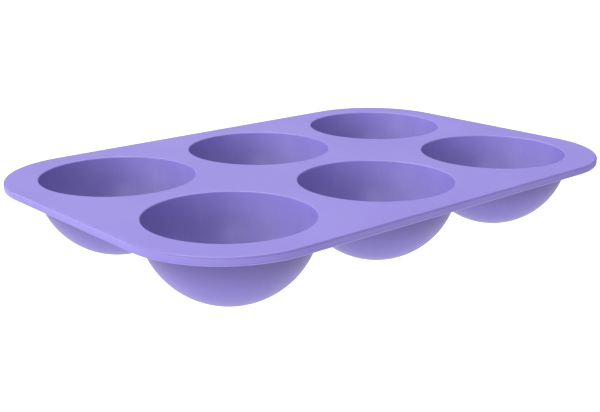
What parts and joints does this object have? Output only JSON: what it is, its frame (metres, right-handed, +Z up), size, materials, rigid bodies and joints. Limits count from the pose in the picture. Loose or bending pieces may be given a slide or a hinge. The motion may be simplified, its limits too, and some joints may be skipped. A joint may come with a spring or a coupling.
{
  "type": "soap mould",
  "caption": "Flexible soap mould: a thin flat deck with rounded corners that carries rows of open half-ball cups, all of one soft rubber.",
  "frame": {"origin": "on the bench, under the middle of the mould: the cup bottoms touch z = 0", "axes": "+X along the long side, +Y across from the front row of cups to the back row, +Z up, out of the open cavities"},
  "size_m": [0.2612, 0.179, 0.0358],
  "materials": {
    "silicone": "satin"
  },
  "bodies": {
    "root": {"deck": "silicone", "cup_front_left": "silicone", "cup_front_middle": "silicone", "cup_front_right": "silicone", "cup_back_left": "silicone", "cup_back_middle": "silicone", "cup_back_right": "silicone"}
  },
  "joints": []
}
